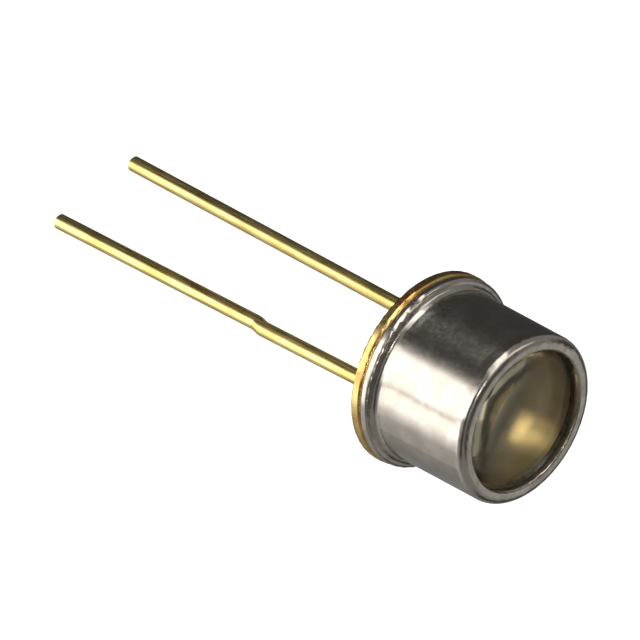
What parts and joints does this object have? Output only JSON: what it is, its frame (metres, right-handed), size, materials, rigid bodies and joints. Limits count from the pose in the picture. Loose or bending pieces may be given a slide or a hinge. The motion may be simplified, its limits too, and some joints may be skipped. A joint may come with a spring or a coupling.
{
  "type": "photodiode",
  "caption": "Hermetic metal can photodiode: gold-plated header, nickel-plated cap, domed glass lens and round wire leads.",
  "frame": {"origin": "centre of the header's underside, midway between the leads", "axes": "+Z along the optical axis out of the lens; the leads run along -Z and lie side by side on X, the anode lead at -X"},
  "size_m": [0.0052, 0.0052, 0.0156],
  "materials": {
    "gold_plate": "gold-plated, bright",
    "gold_wire": "gold-plated, bright drawn wire",
    "nickel_plate": "nickel-plated, bright drawn",
    "lens_glass": "fire-polished",
    "solder_glass": "fused, glossy",
    "seal_glass": "fused, glossy",
    "silicon": "polished, with a dark coating",
    "silver_epoxy": "cured silver-filled paste",
    "gold_bond_wire": "bright fine wire"
  },
  "bodies": {
    "root": {"header_eyelet": "gold_plate", "header_glass": "seal_glass", "anode_lead": "gold_wire", "cathode_lead": "gold_wire", "cap": "nickel_plate", "lens": "lens_glass", "lens_frit": "solder_glass", "photodiode_chip": "silicon", "die_attach": "silver_epoxy", "bond_wire": "gold_bond_wire"}
  },
  "joints": []
}
